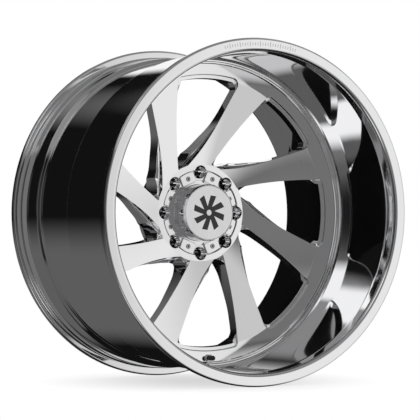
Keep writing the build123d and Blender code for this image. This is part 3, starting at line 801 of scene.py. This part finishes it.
skin("dust_cap_grip", [(grip, sheet_normals(grip))], "dust_cap_shell",
     finishes["black_plastic"], ["dust_cap"])

THREAD_ROOT, THREAD_CREST, THREAD_PITCH = 3.78, 3.97, 0.794
THREAD_START, THREAD_END, THREAD_BURIED = -21.9, -9.4, 3.5


def stem_thread():
    """A right-hand thread round the valve stem, as a tube whose outer radius waves along a helix.

    With phase = station / pitch - angle / full turn, the radius is root + depth * (1 - |2 f - 1|),
    f being the fraction left of the phase, and it sinks into the stem over the last half millimetre."""
    y = np.linspace(THREAD_START, THREAD_END, 190)[None, :]
    a = np.linspace(0, 2 * math.pi, 73)[:, None]
    tooth = 1 - np.abs(2 * np.mod(y / THREAD_PITCH - a / (2 * math.pi), 1) - 1)
    run_out = smooth(THREAD_START, THREAD_START + 0.5, y) * smooth(THREAD_END, THREAD_END - 0.5, y)
    r = THREAD_BURIED + (THREAD_ROOT - THREAD_BURIED + (THREAD_CREST - THREAD_ROOT) * tooth) * run_out
    sheets = [np.stack([q * np.sin(a), y + 0 * q, q * np.cos(a) - VALVE_DROP], -1)
              for q in (r, np.full_like(r, THREAD_BURIED - 0.3))]
    ends = [np.stack([sheets[0][:, i], sheets[1][:, i]], 1) for i in (0, -1)]
    return [(p, sheet_normals(p)) for p in sheets + ends]


skin("valve_thread", stem_thread(), "wheel", finishes["nickel_brass"])

COIL_RADIUS, WIRE_RADIUS, COIL_TURNS = 1.0, 0.14, 6
COIL_FRONT, COIL_BACK, PRESS_TRAVEL = -17.45, -12.95, 1.2


def coil_spring():
    """A round wire carried along a helix round the valve's axis.

    The wire's middle is (R cos t, station, R sin t), its station growing evenly with t. Round it goes a
    circle in the plane square to the wire, from its outward way and its binormal, and each end is closed
    to its middle."""
    t = np.linspace(0, 2 * math.pi * COIL_TURNS, 24 * COIL_TURNS + 1)[:, None]
    a = np.linspace(0, 2 * math.pi, 13)[None, :, None]
    rise = (COIL_BACK - COIL_FRONT - 2 * WIRE_RADIUS) / (2 * math.pi * COIL_TURNS)
    middle = np.hstack([COIL_RADIUS * np.cos(t), COIL_FRONT + WIRE_RADIUS + rise * t,
                        COIL_RADIUS * np.sin(t) - VALVE_DROP])
    along = unit(np.hstack([-COIL_RADIUS * np.sin(t), rise + 0 * t, COIL_RADIUS * np.cos(t)]))
    out = np.hstack([np.cos(t), 0 * t, np.sin(t)])
    way = np.cos(a) * out[:, None] + np.sin(a) * np.cross(along, out)[:, None]
    wire = middle[:, None] + WIRE_RADIUS * way
    ends = [(np.stack([wire[i], np.broadcast_to(middle[i], wire[i].shape)]),
             np.broadcast_to(along[i], (2, *wire[i].shape))) for i in (0, -1)]
    return [(wire, way), *ends]


spring = skin("valve_core_coil", coil_spring(), "wheel", finishes["spring_steel"],
              ["valve_core_spring"])
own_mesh(spring)

# ---------------------------------------------------------------- floor, light and camera

FLOOR_Z, FLOOR_RADIUS, FLOOR_SIDES = -0.3501, 9, 128
floor_mesh = bpy.data.meshes.new("floor")
floor_turns = np.linspace(0, 2 * np.pi, FLOOR_SIDES + 1)[:-1]
floor_rim = FLOOR_RADIUS * np.stack([np.cos(floor_turns), np.sin(floor_turns), 0 * floor_turns], -1)
floor_mesh.from_pydata((floor_rim + [0, 0, FLOOR_Z]).tolist(), [], [list(range(FLOOR_SIDES))])
floor = bpy.data.objects.new("floor", floor_mesh)
bpy.context.scene.collection.objects.link(floor)
floor.visible_glossy = False
f = Finish("floor paper", Base_Color=(0.9, 0.9, 0.9, 1), Roughness=0.9)
f.shader.inputs["Specular IOR Level"].default_value = 0.1
away = f.node("ShaderNodeVectorMath", {"operation": "LENGTH"}, i0=f.place).outputs["Value"]
fade = f.ramp(away, 0.15, 0.5, 0.12, 1.0)
glow = f.node("ShaderNodeEmission", Color=(1, 1, 1, 1), Strength=1.0)
mix = f.node("ShaderNodeMixShader", Fac=fade, i1=f.shader.outputs[0], i2=glow.outputs[0])
f.links.new(mix.outputs[0], f.nodes["Material Output"].inputs["Surface"])
floor_mesh.materials.append(f.material)

# black cloth behind the wheel, seen only in reflections
FLAG = [(-0.10, 0.32, -0.34), (0.40, 0.32, -0.34), (0.40, 0.32, 0.06), (-0.10, 0.32, 0.06)]
flag_mesh = bpy.data.meshes.new("black flag")
flag_mesh.from_pydata(FLAG, [], [[0, 1, 2, 3]])
flag = bpy.data.objects.new("black flag", flag_mesh)
bpy.context.scene.collection.objects.link(flag)
flag.visible_camera = flag.visible_diffuse = flag.visible_shadow = False
flag_cloth = Finish("flag cloth", Base_Color=(0.004, 0.004, 0.004, 1), Roughness=1.0)
flag_mesh.materials.append(flag_cloth.material)

world = bpy.data.worlds.new("studio")
bpy.context.scene.world = world
world.use_nodes = True
wn, wl = world.node_tree.nodes, world.node_tree.links


def wmath(operation, a, b=0.0, c=0.0):
    """One arithmetic step in the world's nodes."""
    n = wn.new("ShaderNodeMath")
    n.operation = operation
    for i, v in enumerate((a, b, c)):
        if isinstance(v, bpy.types.NodeSocket):
            wl.new(v, n.inputs[i])
        else:
            n.inputs[i].default_value = v
    return n.outputs[0]


def wramp(value, low, high):
    """0 at low and 1 at high with soft ends; low may be the larger."""
    n = wn.new("ShaderNodeMapRange")
    n.interpolation_type = "SMOOTHSTEP"
    wl.new(value, n.inputs["Value"])
    n.inputs["From Min"].default_value, n.inputs["From Max"].default_value = low, high
    return n.outputs["Result"]


split = wn.new("ShaderNodeSeparateXYZ")
wl.new(wn.new("ShaderNodeTexCoord").outputs["Generated"], split.inputs[0])
dx, dy, dz = split.outputs
azimuth = wmath("MULTIPLY", wmath("ARCTAN2", dx, wmath("MULTIPLY", dy, -1.0)), 180 / math.pi)
elevation = wmath("MULTIPLY", wmath("ARCSINE", dz), 180 / math.pi)

# soft panels: azimuth from, to, elevation from, to, softness in degrees both ways, brightness
PANELS = [
    (15, 70, -38, 22, 10, 16, 0.6),         # key softbox, right of the street side
    (24, 52, -34, 18, 14, 14, 0.84),        # its brighter middle
    (60, 124, -48, 32, 10, 18, 0.58),       # its reflector
    (74, 88, -44, 28, 10, 18, 0.74),
    (104, 122, 20, 56, 6, 8, 0.9),
    (-42, -22, 22, 46, 5, 7, 1.0),          # left softbox, and its image in the glossy floor
    (-42, -22, -46, -27, 5, 7, 1.0),
    (143, 161, 3, 25, 5, 6, 0.95),          # rim lights behind the wheel
    (-157, -147, 26, 45, 4, 4, 1.0),
    (-38, 16, -34, 50, 10, 14, 0.18),       # grey wall behind the camera
    (-86, -60, -40, 60, 8, 14, 0.09),
    (-145, -84, -2, 20, 12, 10, 0.035),
    (-190, -61, -52, -7, 4, 16, 0.115),     # floor, with a dark gap left of the camera
    (-40, 128, -52, -4, 4, 10, 0.115),
    (170, 200, -52, -7, 16, 16, 0.115),
    (-62, -39, -62, -24, 5, 6, 0.105),
    (-200, 200, 30, 66, 20, 8, 0.26),       # ceiling
    (-200, 200, 60, 100, 20, 20, 0.17),
]
glossy_light = 0.006
for a0, a1, e0, e1, wide, tall, bright in PANELS:
    part = wmath("MULTIPLY", wramp(azimuth, a0 - wide / 2, a0 + wide / 2),
                 wramp(azimuth, a1 + wide / 2, a1 - wide / 2))
    part = wmath("MULTIPLY", part, wramp(elevation, e0 - tall / 2, e0 + tall / 2))
    part = wmath("MULTIPLY", part, wramp(elevation, e1 + tall / 2, e1 - tall / 2))
    glossy_light = wmath("MAXIMUM", glossy_light, wmath("MULTIPLY", part, bright))
path = wn.new("ShaderNodeLightPath").outputs
plain_ray = wmath("MAXIMUM", path["Is Camera Ray"], path["Is Diffuse Ray"])
level = wmath("ADD", wmath("MULTIPLY", plain_ray, 1.0),
              wmath("MULTIPLY", wmath("SUBTRACT", 1.0, plain_ray), glossy_light))
backdrop = wn["Background"]
wl.new(level, backdrop.inputs["Strength"])
backdrop.inputs["Color"].default_value = (1, 1, 1, 1)

CAMERA_DISTANCE = 13.8152902 * 0.3501
AZIMUTH, ELEVATION = -0.514274034, -0.00392412486
AIM_X, AIM_Y = 0.00106351191, -0.00115113815
back = np.array([math.sin(AZIMUTH) * math.cos(ELEVATION), -math.cos(AZIMUTH) * math.cos(ELEVATION),
                 math.sin(ELEVATION)])
right_way = unit(np.cross(-back, [0, 0, 1]))
up_way = np.cross(right_way, -back)
cx, sx, cy, sy = math.cos(AIM_Y), math.sin(AIM_Y), math.cos(AIM_X), math.sin(AIM_X)
tilt = np.array([[cy, 0, sy], [0, 1, 0], [-sy, 0, cy]]) @ np.array([[1, 0, 0], [0, cx, -sx], [0, sx, cx]])
seen = tilt @ np.stack([right_way, up_way, back])
camera_data = bpy.data.cameras.new("camera")
camera_data.lens, camera_data.sensor_width = 2321.39412 * 36 / 420, 36
camera = bpy.data.objects.new("camera", camera_data)
pose = np.eye(4)
pose[:3, :3], pose[:3, 3] = seen.T, back * CAMERA_DISTANCE
camera.matrix_world = Matrix(pose.tolist())
bpy.context.scene.collection.objects.link(camera)
bpy.context.scene.camera = camera
bpy.context.scene.view_settings.view_transform = "Standard"
